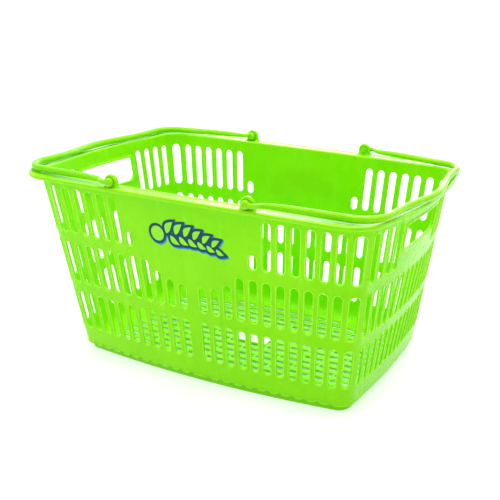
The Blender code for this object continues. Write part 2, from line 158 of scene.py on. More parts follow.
def slot_layout():
    """Slots as (place, low z, high z, width)."""
    slots = []
    for column in range(COLUMNS - 1, -1, -1):
        from_middle = (FIRST_COLUMN + column) * PITCH
        row_2_high = ROW_2[0] + (ROW_2[1] - ROW_2[0]) * ROW_2_SHARE.get(column, 1.0)
        for place in (from_middle, HALF - from_middle):
            if column >= 5:
                slots.append((place, *ROW_1, SLOT_WIDTH))
            elif column == 4:
                slots.append((place, *ROW_1_SHORT, SLOT_WIDTH))
            slots.append((place, ROW_2[0], row_2_high, SLOT_WIDTH))
            slots.append((place, *ROW_3, SLOT_WIDTH))
    for column in range(-7, 8):
        # the hand hole takes the upper row in the middle of the end
        for row in (ROW_1, ROW_2, ROW_3) if abs(column) >= 4 else (ROW_2, ROW_3):
            slots.append((END_MID + column * END_PITCH, *row, END_WIDTH))
    for place in (FRONT_STOP + CORNER * math.radians(36),
                  END_STOP + CORNER * math.radians(54)):
        for row in (ROW_1, ROW_2, ROW_3):
            slots.append((place, *row, CORNER_WIDTH))
    return slots


def arc(x, y, radius, start, sweep, steps):
    """Points along an arc, angles in degrees."""
    angles = [math.radians(start + sweep * i / steps) for i in range(steps + 1)]
    return [(x + radius * math.cos(a), y + radius * math.sin(a)) for a in angles]


def slot_outline(slot, grow):
    """Outline of a slot grown by grow, always with the same number of points."""
    place, z_low, z_high, width = slot
    radius = width / 2.0 + grow
    low, high = z_low + width / 2.0, z_high - width / 2.0
    between = max(int((high - low) / 11.0), 0)
    rises = [(high - low) * i / (between + 1) for i in range(1, between + 1)]
    return (arc(place, low, radius, 180, 180, 8)
            + [(place + radius, low + rise) for rise in rises]
            + arc(place, high, radius, 0, 180, 8)
            + [(place - radius, high - rise) for rise in rises])


HAND_HALF, HAND_LOW, HAND_HIGH = 54.5, 199.0, 232.0
HAND_LOW_CORNER, HAND_HIGH_CORNER = 11.0, 4.0


def hand_outline(grow):
    """Hand hole: nearly square upper corners, well rounded lower ones."""
    points = []
    for side, up, edge_z, radius, start in (
            (1, -1, HAND_LOW, HAND_LOW_CORNER, 270), (1, 1, HAND_HIGH, HAND_HIGH_CORNER, 0),
            (-1, 1, HAND_HIGH, HAND_HIGH_CORNER, 90), (-1, -1, HAND_LOW, HAND_LOW_CORNER, 180)):
        reach = side * (HAND_HALF - radius)
        points += arc(END_MID + reach, edge_z - up * radius, radius + grow, start, 90, 8)
        if side == up:
            points += [(END_MID + reach * (1 - 2 * i / 9.0), edge_z + up * grow)
                       for i in range(1, 9)]
    return points


# (outline growth, offset from the outer face): from the outer sheet over the raised
# lip, through the wall, to the inner sheet
SLOT_PROFILE = [(1.95, 0.0), (1.75, 0.16), (1.4, 0.44), (0.98, 0.58), (0.55, 0.48),
                (0.14, 0.16), (0.0, -0.4), (0.0, -1.85), (0.12, -2.18), (0.45, -2.36),
                (1.95, -SKIN)]
HAND_PROFILE = [(3.2, 0.0), (2.8, 0.3), (2.2, 0.8), (1.4, 1.05), (0.6, 0.9), (0.1, 0.35),
                (0.0, -0.4), (0.0, -2.0), (0.1, -2.75), (0.6, -3.3), (1.4, -3.45),
                (2.2, -3.2), (2.8, -2.7), (3.2, -SKIN)]
# lips standing out further than this also carry the painted highlight mark
CREST_OFFSET = 0.43              # lips standing out further than this are raised edges
SLOTS = slot_layout()
HOLES = [(partial(slot_outline, slot), SLOT_PROFILE) for slot in SLOTS]
HOLES.append((hand_outline, HAND_PROFILE))

# ------------------------------------------------------------------ stations
# The heel has a notch under each lowest slot of the front and back.
NOTCHES = [slot[0] for slot in SLOTS
           if slot[1] == ROW_3[0] and (slot[0] < FRONT_STOP or slot[0] > BACK_START)]
NOTCH_HALF, NOTCH_CLEAR = 4.6, 6.2
NOTCH_STEPS = (-4.9, -4.3, -3.2, -1.7, 0, 1.7, 3.2, 4.3, 4.9)


def station_places():
    """Places shared by all the long rings, finer across each notch."""
    places = []
    for start, stop, count in ((0, FRONT_STOP, 24), (FRONT_STOP, END_START, 17),
                               (END_START, END_STOP, 33), (END_STOP, BACK_START, 17),
                               (BACK_START, HALF, 24)):
        places += list(np.linspace(start, stop, count))
    places = [s for s in places
              if all(abs(s - notch) > NOTCH_CLEAR for notch in NOTCHES) or s in (0, HALF)]
    fine = [notch + step for notch in NOTCHES for step in NOTCH_STEPS]
    places += [s for s in fine if 0 < s < HALF]
    return np.array(sorted(set(np.round(places, 6))))


def notch_arches():
    """Height share of the notch arches at each station."""
    arches = np.zeros_like(STATIONS)
    for notch in NOTCHES:
        d = np.abs(STATIONS - notch) / NOTCH_HALF
        arches = np.maximum(arches, np.where(d < 1, np.sqrt(np.maximum(1 - d * d, 0)), 0))
    return arches


STATIONS = station_places()
ARCHES = notch_arches()
IN_NOTCH = (ARCHES > 0.30).astype(float)


def wall_ring(inset, z, line_z=None):
    """Ring at height z, inset from the wall line of height line_z (or z)."""
    x, y, _, _ = wall_line(STATIONS, z if line_z is None else line_z, inset)
    return np.stack([x, y, np.zeros_like(x) + z], -1)


def lip_ring(inset, z):
    """Ring inset from the rim's outer edge."""
    corner = RIM_CORNER - inset
    x, y, _, _ = plan(STATIONS, RIM_HALF_X - inset, RIM_HALF_Y - inset, corner,
                      RIM_BOW_X, RIM_BOW_Y, corner)
    return np.stack([x, y, np.zeros_like(x) + z], -1)


def dipped(ring, share=1.0):
    """Ring lowered along the end, where the grip lies on it."""
    t = np.clip((STATIONS - END_MID) / SHORT, -1.0, 1.0)
    ring = ring.copy()
    ring[:, 2] -= RIM_DIP * share * (1 - t ** 4)
    return ring


class Shape:
    """Points and faces being gathered, with marks that the material reads:
    the light mark is above 0 on raised edges, for a painted highlight, and below 0 on the heel's
    underside and the foot, for painted shade; the floor mark is 1 on the floor's top."""

    def __init__(self):
        self.verts, self.faces = [], []
        self.crest, self.floor_tint_mask = {}, {}

    def add(self, points, crest=0.0):
        first = len(self.verts)
        self.verts.extend(map(tuple, points))
        ids = list(range(first, len(self.verts)))
        if crest:
            self.crest.update((i, crest) for i in ids)
        return ids

    def strip(self, a, b):
        """Quads between two open rings; gives back the second."""
        for i in range(len(a) - 1):
            self.faces.append((a[i], a[i + 1], b[i + 1], b[i]))
        return b

    def band(self, a, b):
        """Quads between two closed loops; gives back the second."""
        for i in range(len(a)):
            j = (i + 1) % len(a)
            self.faces.append((a[j], a[i], b[i], b[j]))
        return b

    def line_hole(self, loop, steps, last):
        """Bands from a loop through steps of (points, crest) to the last loop."""
        for points, crest in steps:
            loop = self.band(loop, self.add(points, crest))
        self.band(loop, last)

    def mirror(self):
        """Add a copy mirrored in x."""
        half = len(self.verts)
        for marks in (self.crest, self.floor_tint_mask):
            marks.update([(half + i, value) for i, value in marks.items()])
        self.verts += [(-x, y, z) for x, y, z in self.verts]
        self.faces += [tuple(half + i for i in reversed(face)) for face in self.faces]


# -------------------------------------------------------- sheets with holes
def inside(point, loop):
    x, y = point
    hit = False
    for i in range(len(loop)):
        (x1, y1), (x2, y2) = loop[i], loop[i - 1]
        if (y1 > y) != (y2 > y) and x < (x2 - x1) * (y - y1) / (y2 - y1) + x1:
            hit = not hit
    return hit


def sheet(border, outlines, grid, clear, trim=False):
    """Triangulate a flat region with holes, with grid points kept clear of the holes.

    Returns the points, the triangles, each hole's point numbers and the new number
    of every input point.  With trim, triangles outside the border go too.
    """
    points, edges, ranges = [], [], []
    for loop in [border] + outlines:
        ids = list(range(len(points), len(points) + len(loop)))
        points += [Vector(point) for point in loop]
        edges += [(ids[i], ids[(i + 1) % len(ids)]) for i in range(len(ids))]
        ranges.append(ids)
    boxes = np.array([(min(q[0] for q in loop) - clear, max(q[0] for q in loop) + clear,
                       min(q[1] for q in loop) - clear, max(q[1] for q in loop) + clear)
                      for loop in outlines])

    def near(x, y):
        return np.where((boxes[:, 0] < x) & (boxes[:, 1] > x)
                        & (boxes[:, 2] < y) & (boxes[:, 3] > y))[0]

    points += [Vector(point) for point in grid if len(near(*point)) == 0]
    result = delaunay_2d_cdt(points, edges, [], 0, 1e-5)
    number = {old: new for new, olds in enumerate(result[3]) for old in olds}
    coords = np.array([(v.x, v.y) for v in result[0]])
    kept = []
    for triangle in result[2]:
        centre = coords[list(triangle)].mean(0)
        if trim and not inside(centre, border):
            continue
        if not any(inside(centre, outlines[k]) for k in near(*centre)):
            kept.append(triangle)
    return coords, kept, [[number[i] for i in ids] for ids in ranges[1:]], number


# ------------------------------------------------------------- basket pieces
def wall_grid():
    """Inner points of the wall sheet, closer together at the corners."""
    grid = []
    for z in np.arange(WALL_LOW + 5, WALL_HIGH - 3, 9.0):
        for place in list(np.linspace(0, FRONT_STOP, 25)[1:]) \
                + list(np.linspace(END_START, END_STOP, 34)) \
                + list(np.linspace(BACK_START, HALF, 25)[:-1]):
            grid.append((float(place), float(z)))
    for z in np.arange(WALL_LOW + 4, WALL_HIGH - 3, 5.0):
        for start, stop in ((FRONT_STOP, END_START), (END_STOP, BACK_START)):
            for place in np.linspace(start, stop, 16)[1:-1]:
                grid.append((float(place), float(z)))
    return grid


def build_wall(shape):
    """Both faces of the wall and its holes; returns the four edge rings
    (bottom outer, bottom inner, top outer, top inner)."""
    rises = [(WALL_HIGH - WALL_LOW) * i / WALL_STEPS for i in range(1, WALL_STEPS)]
    border = [(place, WALL_LOW) for place in STATIONS] \
        + [(HALF, WALL_LOW + rise) for rise in rises] \
        + [(place, WALL_HIGH) for place in STATIONS[::-1]] \
        + [(0.0, WALL_HIGH - rise) for rise in rises]
    coords, triangles, loops, number = sheet(
        border, [outline(profile[0][0]) for outline, profile in HOLES], wall_grid(), 1.4)
    outer = shape.add(wall(coords[:, 0], coords[:, 1], 0.0))
    inner = shape.add(wall(coords[:, 0], coords[:, 1], -SKIN))
    for triangle in triangles:
        shape.faces.append([outer[i] for i in triangle])
        shape.faces.append([inner[i] for i in reversed(triangle)])
    for (outline, profile), loop in zip(HOLES, loops):
        steps = []
        for grow, offset in profile[1:-1]:
            flat = np.array(outline(grow))
            # lip rings past the threshold carry the painted highlight mark
            steps.append((wall(flat[:, 0], flat[:, 1], offset),
                          1.0 if offset > CREST_OFFSET else 0.0))
        shape.line_hole([outer[i] for i in loop], steps, [inner[i] for i in loop])
    count = len(STATIONS)
    bottom = [number[i] for i in range(count)]
    first_top = count + WALL_STEPS - 1
    top = [number[first_top + i] for i in range(count)][::-1]
    return [[face[i] for i in row] for row in (bottom, top) for face in (outer, inner)]


# z, offset from the outer face, share of the dip
RIM_NECK = [(248.6, 0.0, 0.3), (250.6, 0.1, 0.6), (252.2, 0.5, 1.0), (253.1, 1.3, 1.0)]
# inset from the rim's edge, z: out under the flange, round the lip, back over the top
RIM_LIP = [(4.0, FLANGE_UNDER), (3.0, 253.4), (2.5, 252.9), (2.4, 252.2), (2.1, 251.5),
           (1.3, 251.05), (0.5, 251.2), (0.08, 251.8), (0.0, 252.6), (0.0, 254.3),
           (0.15, 255.1), (0.6, 255.7), (1.3, 255.97), (2.2, 256.0), (3.1, 255.85),
           (4.0, 255.5), (4.8, 255.35)]
# inset from the wall line, z: the bead along the rim's inner edge
RIM_BEAD = [(-2.4, 255.35), (-1.4, 255.45), (-0.6, 255.75), (0.3, 255.98), (1.2, 255.9),
            (1.9, 255.45), (2.3, 254.7)]
RIM_INNER = [(252.6, 1.0), (249.6, 0.4)]        # z, share of the dip
RIM_INNER_INSET = 2.42


def build_rim(shape, top_outer, top_inner):
    rings = [dipped(wall(STATIONS, z, offset), share) for z, offset, share in RIM_NECK]
    rings += [dipped(lip_ring(inset, z)) for inset, z in RIM_LIP]
    rings += [dipped(wall_ring(inset, z, FLANGE_UNDER)) for inset, z in RIM_BEAD]
    rings += [dipped(wall_ring(RIM_INNER_INSET, z), share) for z, share in RIM_INNER]
    last = top_outer
    for ring in rings:
        # rings along the rim's top carry the painted highlight mark
        last = shape.strip(last, shape.add(ring, 0.7 if ring[0, 2] > RIM_CREST_Z else 0.0))
    shape.strip(last, top_inner)


# z, inset, further inset in the notches, rise of the notch arch, and the painted light mark: a
# painted highlight on the heel's bulging edge, painted shade on its underside
HEEL = [(20.0, 0.0, 0.0, 0.0, 0.0), (15.6, 0.0, 0.0, 0.0, 0.0), (13.4, 0.0, 0.0, 0.9, 0.0),
        (11.4, -0.35, 0.0, 2.2, 0.0), (10.4, -0.55, 0.0, 3.1, 0.9),
        (9.7, -0.35, 0.0, 3.3, 0.9), (9.4, 0.25, 0.3, 3.3, -1.0), (9.2, 0.9, 0.9, 3.0, -1.0),
        (9.1, 1.9, 0.2, 1.5, -1.0), (9.0, 3.2, 0.0, 0.3, -1.0), (8.7, 4.3, 0.0, 0.0, -1.0)]
# inset, z: down the foot, under it and up to the floor's underside
FOOT = [(4.6, 8.0), (4.75, 4.4), (4.9, 1.3), (5.2, 0.35), (5.9, 0.0), (7.2, 0.0),
        (7.85, 0.35), (8.1, 1.2), (8.2, 3.5), (8.8, 4.45), (10.4, 4.78),
        (FLOOR_INSET, FLOOR_UNDER)]
# inset, z: from the inner face of the wall round to the floor's top
INNER_HEEL = [(2.4, 19.5), (2.9, 16.0), (4.0, 13.2), (6.0, 10.2), (8.4, 8.3), (11.2, 7.4),
              (FLOOR_INSET, FLOOR_TOP)]


def build_base(shape, bottom_outer, bottom_inner):
    """Heel, foot and inner curve; returns the floor's lower and upper edge rings."""
    rings = [(wall_ring(inset + push * IN_NOTCH, z + rise * ARCHES), crest)
             for z, inset, push, rise, crest in HEEL]
    # the whole foot carries the painted shade mark
    rings += [(wall_ring(inset, z), -1.0) for inset, z in FOOT]
    under = bottom_outer
    for ring, crest in rings:
        ids = shape.add(ring, crest)
        shape.strip(ids, under)
        under = ids
    top = bottom_inner
    for inset, z in INNER_HEEL:
        top = shape.strip(top, shape.add(wall_ring(inset, z)))
    return under, top


def rounded_box(centre, half, corner, grow, steps):
    """Outline of a rounded rectangle, grown by grow."""
    points = []
    for side_x, side_y, start in ((1, -1, 270), (1, 1, 0), (-1, 1, 90), (-1, -1, 180)):
        points += arc(centre[0] + side_x * (half[0] - corner),
                      centre[1] + side_y * (half[1] - corner), corner + grow, start, 90, steps)
    return points


CELL_PITCH_X, CELL_PITCH_Y = 30.0, 15.2
CELL_HALF = (13.4, 2.9)
CELL_CORNER = 1.1
CELL_MARGIN = 4.5                # from a cell to the edge of the flat floor
FLOOR_CORNER = 21.5
# outline growth, z: down through the floor
CELL_PROFILE = [(0.75, FLOOR_TOP), (0.32, 7.12), (0.06, 6.85), (0.0, 6.3), (0.0, 5.3),
                (0.2, 4.95), (0.75, FLOOR_UNDER)]


def drain_cells():
    """Centres of the drain holes that fit on the flat floor, for x > 0."""
    limit_x = half_x(7) - FLOOR_INSET
    side_y = half_y(7) - FLOOR_INSET
    cells = []
    for row in range(-7, 8):
        for column in range(7):
            x, y = (column + 0.5) * CELL_PITCH_X, row * CELL_PITCH_Y
            far_x = x + CELL_HALF[0] + CELL_MARGIN
            far_y = abs(y) + CELL_HALF[1] + CELL_MARGIN
            t = min(far_x / (limit_x - FLOOR_CORNER), 1.0)
            if far_x > limit_x or far_y > side_y + bow_y(7) * (1 - t * t):
                continue
            over_x = far_x - (limit_x - FLOOR_CORNER)
            over_y = far_y - (side_y - FLOOR_CORNER)
            if over_x > 0 and over_y > 0 and math.hypot(over_x, over_y) > FLOOR_CORNER:
                continue
            cells.append((x, y))
    return cells


def build_floor(shape, under_edge, top_edge):
    """Flat floor with its drain holes."""
    edge = [shape.verts[i][:2] for i in top_edge]
    y_front, y_back = edge[0][1], edge[-1][1]
    middle = [(0.0, y_back + (y_front - y_back) * i / 18.0) for i in range(1, 18)]

    outlines = [partial(rounded_box, cell, CELL_HALF, CELL_CORNER, steps=3)
                for cell in drain_cells()]
    coords, triangles, loops, number = sheet(
        edge + middle, [outline(grow=CELL_PROFILE[0][0]) for outline in outlines],
        [], 1.0, True)
    top = {number[i]: ident for i, ident in enumerate(top_edge)}
    under = {number[i]: ident for i, ident in enumerate(under_edge)}
    for i, (x, y) in enumerate(coords):
        if i not in top:
            top[i], under[i] = shape.add([(x, y, FLOOR_TOP), (x, y, FLOOR_UNDER)])
            shape.floor_tint_mask[top[i]] = 1.0
    for triangle in triangles:
        shape.faces.append([top[i] for i in triangle])
        shape.faces.append([under[i] for i in reversed(triangle)])
    for outline, loop in zip(outlines, loops):
        steps = [([(x, y, z) for x, y in outline(grow=grow)], 0.0)
                 for grow, z in CELL_PROFILE[1:-1]]
        shape.line_hole([top[i] for i in loop], steps, [under[i] for i in loop])


LUG_Y, LUG_THICK, LUG_RADIUS, LUG_SIDES = 163.7, 5.0, 8.8, 48
LUG_SINK = 1.3                   # flat foot of the lug, below the rim's top
# inset, depth from the face: the lug's rounded outer edge
LUG_EDGE = [(0.75, 0.0), (0.35, 0.12), (0.08, 0.45), (0.0, 0.9)]
# radius, height above the face: a raised ring, then the bore
LUG_BORE = [(7.85, 0.0), (7.65, 0.32), (7.25, 0.52), (6.85, 0.5), (6.5, 0.28), (6.25, 0.0),
            (3.5, 0.0), (3.08, -0.35)]
FILLET_HEIGHT, FILLET_OUT = 2.6, 1.5    # where the lug spreads to meet the rim


def build_lug(shape, centre_x, centre_y):
    """Upright eye on the rim, bored along y for a handle's pin."""
    turns = [math.tau * i / LUG_SIDES for i in range(LUG_SIDES)]
    directions = [(math.cos(turn), math.sin(turn)) for turn in turns]

    def reach(c, s, inset):
        radius = LUG_RADIUS - inset
        if s < 0:
            # straight sides and a flat foot below the pivot
            radius = min(radius / max(abs(c), 1e-6),
                         (PIVOT_Z - RIM_TOP + LUG_SINK) / max(-s, 1e-6))
        return radius

    half = LUG_THICK / 2
    edge = [(inset, -half + depth) for inset, depth in LUG_EDGE] \
        + [(inset, half - depth) for inset, depth in reversed(LUG_EDGE)]
    bore = [(radius, half + height) for radius, height in LUG_BORE] \
        + [(radius, -half - height) for radius, height in reversed(LUG_BORE)]
    loops = [[(reach(c, s, inset) * c, y, reach(c, s, inset) * s) for c, s in directions]
             for inset, y in edge]
    loops += [[(radius * c, y, radius * s) for c, s in directions] for radius, y in bore]
    ids = []
    for loop in loops:
        points = []
        for x, y, up in loop:
            z = PIVOT_Z + up
            spread = max(0.0, (RIM_TOP + FILLET_HEIGHT - z) / FILLET_HEIGHT) ** 2 * FILLET_OUT
            at_face = abs(y) > 2.0 and math.hypot(x, up) > 7
            points.append((centre_x + x + math.copysign(spread, x) * (abs(x) > 6),
                           centre_y + y + math.copysign(spread, y) * at_face, z))
        ids.append(shape.add(points))
    for a, b in zip(ids, ids[1:] + ids[:1]):
        shape.band(a, b)


def link_object(name, data):
    obj = bpy.data.objects.new(name, data)
    bpy.context.scene.collection.objects.link(obj)
    return obj


def new_mesh(name, verts, faces):
    mesh = bpy.data.meshes.new(name)
    mesh.from_pydata([(x * MM, y * MM, z * MM) for x, y, z in verts], [], faces)
    return mesh


def make_object(name, verts, faces, smooth, marks=None):
    """Welded object from millimetre points, sharp where faces meet above smooth degrees."""
    mesh = new_mesh(name, verts, faces)
    for key, values in (marks or {}).items():
        layer = mesh.attributes.new(key, 'FLOAT', 'POINT')
        full = np.zeros(len(verts), np.float32)
        for i, value in values.items():
            full[i] = value
        layer.data.foreach_set("value", full)
    bm = bmesh.new()
    bm.from_mesh(mesh)
    bmesh.ops.remove_doubles(bm, verts=bm.verts, dist=0.00002)
    bmesh.ops.dissolve_degenerate(bm, edges=bm.edges, dist=0.000001)
    bmesh.ops.recalc_face_normals(bm, faces=bm.faces)
    bm.to_mesh(mesh)
    bm.free()
    mesh.shade_smooth()
    mesh.set_sharp_from_angle(angle=math.radians(smooth))
    return link_object(name, mesh)


def make_body():
    shape = Shape()
    bottom_outer, bottom_inner, top_outer, top_inner = build_wall(shape)
    build_rim(shape, top_outer, top_inner)
    build_floor(shape, *build_base(shape, bottom_outer, bottom_inner))
    shape.mirror()
    for side_y in (-1, 1):
        for side_x in (-1, 1):
            build_lug(shape, side_x * PIVOT_X, side_y * LUG_Y)
    return make_object("moulded_body", shape.verts, shape.faces, smooth=38.0,
                       marks={"crest": shape.crest, "floor_tint_mask": shape.floor_tint_mask})


body = make_body()

# ------------------------------------------------------------------- handles
ROD_RADIUS, GRIP_RADIUS, ROOT_RADIUS = 4.4, 4.8, 3.05
BOSS_RADIUS, BOSS_THICK, PIN_RADIUS, LUG_GAP = 5.4, 6.5, 2.6, 0.3
ARM_Y, SHOULDER_X, GRIP_X, BEND_RADIUS = 151.0, 246.5, 260.3, 33.0
SHOULDER_Z, GRIP_Z = 260.7, 259.2
GRIP_REACH = 95.0                # the grip swells and bulges out over this half length
GRIP_DRIFT = 2.8                 # part of the bulge that is spread over the whole bar
# x from the pivot, y from a boss outside its lug, y from one inside, z from the pivot,
# rod radius
ARM = [(20.0, 161.8, 156.0, 0.0, 3.3), (30.0, 160.0, 156.2, -0.1, 3.7),
       (55.0, 157.3, 155.6, -0.4, 4.2), (85.0, 154.8, 154.0, -1.2, ROD_RADIUS)]


def half_handle(boss_y, sign, outside):
    """(x, y, z, radius) along the right handle's rod, from a boss to the grip's middle."""
    points = [(PIVOT_X + dx, boss_y, PIVOT_Z, ROOT_RADIUS) for dx in (1.0, 6.0, 11.0)]
    for dx, y_outside, y_inside, dz, radius in ARM:
        points.append((PIVOT_X + dx, sign * (y_outside if outside else y_inside),
                       PIVOT_Z + dz, radius))
    bend_x, bend_y = SHOULDER_X - BEND_RADIUS, ARM_Y - BEND_RADIUS
    for i in range(13):
        angle = math.radians(90.0 - 7.5 * i)
        points.append((bend_x + BEND_RADIUS * math.cos(angle),
                       sign * (bend_y + BEND_RADIUS * math.sin(angle)),
                       SHOULDER_Z, ROD_RADIUS))
    for i in range(1, 21):
        y = bend_y * (1.0 - i / 20.0)
        swell = 0.5 + 0.5 * math.cos(math.pi * min(y / GRIP_REACH, 1.0))
        drift = GRIP_DRIFT * (1.0 - y / bend_y)
        points.append((SHOULDER_X + drift + (GRIP_X - SHOULDER_X - GRIP_DRIFT) * swell,
                       sign * y,
                       SHOULDER_Z + (GRIP_Z - SHOULDER_Z) * (1.0 - (y / bend_y) ** 2),
                       ROD_RADIUS + (GRIP_RADIUS - ROD_RADIUS) * swell))
    return points


def smooth_path(points, spacing=3.2):
    """Centripetal Catmull-Rom through the points, resampled about evenly."""
    way = np.array(points, float)
    way = np.vstack([2 * way[0] - way[1], way, 2 * way[-1] - way[-2]])
    out = []
    for i in range(1, len(way) - 2):
        before, start, stop, after = way[i - 1:i + 3]
        d = [max(np.linalg.norm((b - a)[:3]), 1e-6) ** 0.5 for a, b in
             ((before, start), (start, stop), (stop, after))]
        leave = ((start - before) / d[0] - (stop - before) / (d[0] + d[1])
                 + (stop - start) / d[1]) * d[1]
        arrive = ((stop - start) / d[1] - (after - start) / (d[1] + d[2])
                  + (after - stop) / d[2]) * d[1]
        count = max(int(np.linalg.norm((stop - start)[:3]) / spacing), 1)
        for k in range(count):
            t = k / count
            out.append((2 * t**3 - 3 * t**2 + 1) * start + (t**3 - 2 * t**2 + t) * leave
                       + (-2 * t**3 + 3 * t**2) * stop + (t**3 - t**2) * arrive)
    out.append(way[-2])
    return np.array(out)


def tube(path, sides=32, ridge=0.10):
    """Round rod with a faint ridge on both sides, in the handle's own plane."""
    verts, faces = [], []
    centres = path[:, :3]
    tangents = np.gradient(centres, axis=0)
    tangents /= np.linalg.norm(tangents, axis=1)[:, None]
    for centre, tangent, full in zip(centres, tangents, path[:, 3]):
        across = np.cross(tangent, np.array([0, 0, 1.0]))
        across /= np.linalg.norm(across)
        upward = np.cross(across, tangent)
        for k in range(sides):
            angle = math.tau * k / sides
            radius = full - ridge + (ridge if k in (0, sides // 2) else 0.0)
            verts.append(tuple(centre + radius * (math.cos(angle) * across
                                                  + math.sin(angle) * upward)))
    last = (len(centres) - 1) * sides
    for a in range(0, last, sides):
        b = a + sides
        for k in range(sides):
            m = (k + 1) % sides
            faces.append((a + k, a + m, b + m, b + k))
    faces.append(tuple(reversed(range(sides))))
    faces.append(tuple(range(last, last + sides)))
    return verts, faces


def turned(profile, centre_x, sides=40):
    """Solid turned about the pivot axis from (radius, y) points."""
    verts, faces = [], []
    for radius, y in profile:
        for k in range(sides):
            angle = math.tau * k / sides
            verts.append((centre_x + radius * math.cos(angle), y,
                          PIVOT_Z + radius * math.sin(angle)))
    last = (len(profile) - 1) * sides
    for a in range(0, last, sides):
        b = a + sides
        for k in range(sides):
            m = (k + 1) % sides
            faces.append((a + k, b + k, b + m, a + m))
    faces.append(tuple(range(sides)))
    faces.append(tuple(reversed(range(last, last + sides))))
    return verts, faces


def boss_profile(sign, face, step):
    """(radius, y) down a boss, along its pin and over the pin's head beyond the lug."""
    end = face + step * BOSS_THICK
    far = face - step * (LUG_THICK + 2 * LUG_GAP)
    table = [   # radius, y it starts from, distance on from there
        (1.1, end, -0.5), (1.5, end, -0.15), (1.9, end, 0.0),
        (BOSS_RADIUS - 2.6, end, -0.12), (BOSS_RADIUS - 1.75, end, -0.42),
        (BOSS_RADIUS - 1.0, end, -0.95), (BOSS_RADIUS - 0.4, end, -1.7),
        (BOSS_RADIUS - 0.08, end, -2.6), (BOSS_RADIUS, end, -3.2),
        (BOSS_RADIUS, face, 0.9), (BOSS_RADIUS - 0.2, face, 0.35),
        (BOSS_RADIUS - 0.7, face, 0.0), (PIN_RADIUS + 0.1, face, 0.0),
        (PIN_RADIUS, face, -0.2), (PIN_RADIUS, far, 0.02), (PIN_RADIUS + 0.9, far, 0.0),
        (PIN_RADIUS + 0.9, far, -0.6), (PIN_RADIUS + 0.5, far, -1.15),
        (PIN_RADIUS - 0.2, far, -1.4), (1.5, far, -1.4), (1.1, far, -1.2), (0.9, far, -0.8)]
    return [(radius, sign * (base + step * along)) for radius, base, along in table]


def make_handle(name, side, front_outside, back_outside):
    """Handle on the side of x; each boss sits outside or inside its lug."""
    ends, halves = [], []
    for sign, outside in ((-1, front_outside), (1, back_outside)):
        step = 1 if outside else -1
        face = LUG_Y + step * LUG_THICK / 2 + step * LUG_GAP
        ends.append((sign, face, step))
        halves.append(half_handle(sign * (face + step * BOSS_THICK / 2), sign, outside))
    points = halves[0] + list(reversed(halves[1][:-1]))
    path = smooth_path([(side * x, y, z, radius) for x, y, z, radius in points])
    rod = make_object(name + "_rod", *tube(path), smooth=60)
    for k, end in enumerate(ends):
        boss = make_object("%s_boss%d" % (name, k),
                           *turned(boss_profile(*end), side * PIVOT_X), smooth=50)
        join = rod.modifiers.new("join", 'BOOLEAN')
        join.operation, join.solver, join.object = 'UNION', 'EXACT', boss
        graph = bpy.context.evaluated_depsgraph_get()
        mesh = bpy.data.meshes.new_from_object(rod.evaluated_get(graph))
        rod.modifiers.clear()
        rod.data = mesh
        bpy.data.objects.remove(boss, do_unlink=True)
    rod.name = name
    rod.data.shade_smooth()
    rod.data.set_sharp_from_angle(angle=math.radians(42))
    return rod


left = make_handle("swing_handle_left", -1, front_outside=True, back_outside=False)
right = make_handle("swing_handle_right", 1, front_outside=True, back_outside=True)

# ------------------------------------------------------------------- emblem
FILL, OUTLINE, SHADOW = 0, 1, 2         # ink slots; the lowest one prints on top
EMBLEM_Z, EMBLEM_TILT = 200.0, -1.0     # height of the middle, degrees
INK_TOP, INK_BASE = 0.07, -0.05         # offsets from the wall's outer face


def leaf(x, y, length, width, angle, lean=0.12):
    """Pointed leaf outline from its root, growing along the angle."""
    steps = 12
    points = []
    for i, side in [(i, 1) for i in range(steps + 1)] \
            + [(i, -1) for i in range(steps - 1, 0, -1)]:
        t = i / steps
        half = math.sin(math.pi * t ** 0.8) * width / 2 * (1 - 0.15 * t)
        points.append((t * length, side * half + lean * length * math.sin(math.pi * t)))
    c, s = math.cos(math.radians(angle)), math.sin(math.radians(angle))
    return [(x + c * u - s * v, y + s * u + c * v) for u, v in points]


def signed_area(outline):
    """Twice the area, positive when counter-clockwise."""
    return sum(outline[i - 1][0] * outline[i][1] - outline[i][0] * outline[i - 1][1]
               for i in range(len(outline)))


def grown(outline, distance):
    """Outline moved outward by distance."""
    turn = 1 if signed_area(outline) > 0 else -1
    out = []
    for i in range(len(outline)):
        a, b = Vector(outline[i - 1]), Vector(outline[i])
        c = Vector(outline[(i + 1) % len(outline)])
        normal_in = Vector(((b - a).y, -(b - a).x)).normalized() * turn
        normal_out = Vector(((c - b).y, -(c - b).x)).normalized() * turn
        middle = normal_in + normal_out
        middle = middle.normalized() if middle.length > 1e-6 else normal_in
        mitre = 1.0 / max(middle.dot(normal_in), 0.55)
        out.append(tuple(b + middle * distance * mitre))
    return out


def stem_y(phase):
    return -3.0 + 6.0 * math.sin(1.1 + phase)


def emblem_layers():
    """A sprig of leaves with a berry, as (ink, outline)."""
    fills = []
    for i in range(6):
        t = i / 5.0
        x, y, size = -31.0 + 66.0 * t, stem_y(2.2 * t), 20.5 - 4.5 * t
        fills.append(leaf(x, y + 0.8, size, size * 0.50, 56 - 14 * t))
        fills.append(leaf(x + 5.5, y - 0.8, size * 0.86, size * 0.44, -36 + 12 * t, -0.12))
    fills.append([(-44.5 + 10.0 * math.cos(math.tau * i / 36),
                   1.0 + 10.0 * math.sin(math.tau * i / 36)) for i in range(36)])
    line = [(-38 + 90 * i / 30.0, stem_y(2.2 * (i / 30.0 * 90 - 7) / 66)) for i in range(31)]
    stem = [(x, y + 1.3) for x, y in line] + [(x, y - 1.3) for x, y in reversed(line)]
    return [(SHADOW, [(x + 1.4, y - 1.7) for x, y in grown(fill, 3.1)]) for fill in fills] \
        + [(OUTLINE, grown(fill, 3.2)) for fill in fills] + [(OUTLINE, stem)] \
        + [(FILL, grown(fill, -0.35)) for fill in fills]


